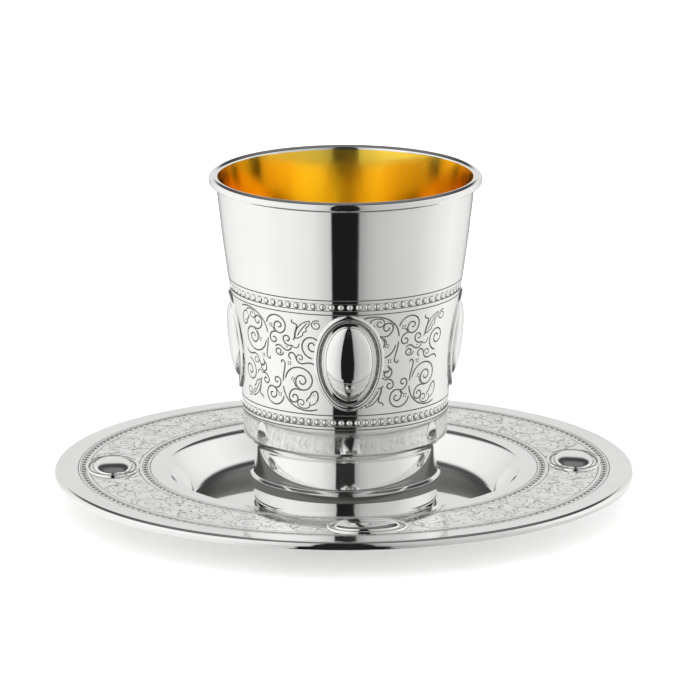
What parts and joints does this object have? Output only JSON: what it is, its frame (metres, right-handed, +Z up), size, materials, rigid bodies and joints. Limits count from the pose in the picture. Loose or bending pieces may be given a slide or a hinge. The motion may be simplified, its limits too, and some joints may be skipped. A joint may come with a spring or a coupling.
{
  "type": "kiddush cup with saucer",
  "caption": "Silver beaker for blessing wine, gilt inside, with an engraved scroll band and oval bosses, standing in the well of a matching saucer",
  "frame": {"origin": "centre of the saucer's flat underside, on the surface it stands on", "axes": "+Z is up, along the axis of the cup and saucer; -Y is the side the picture is taken from; +X is to the picture's right"},
  "size_m": [0.1452, 0.1452, 0.0846],
  "materials": {
    "cup": "polished silver, gilt inside, dark patina in the engraved lines",
    "saucer": "polished silver, dark patina in the engraved lines"
  },
  "bodies": {
    "root": {"cup": "cup", "saucer": "saucer"}
  },
  "joints": []
}
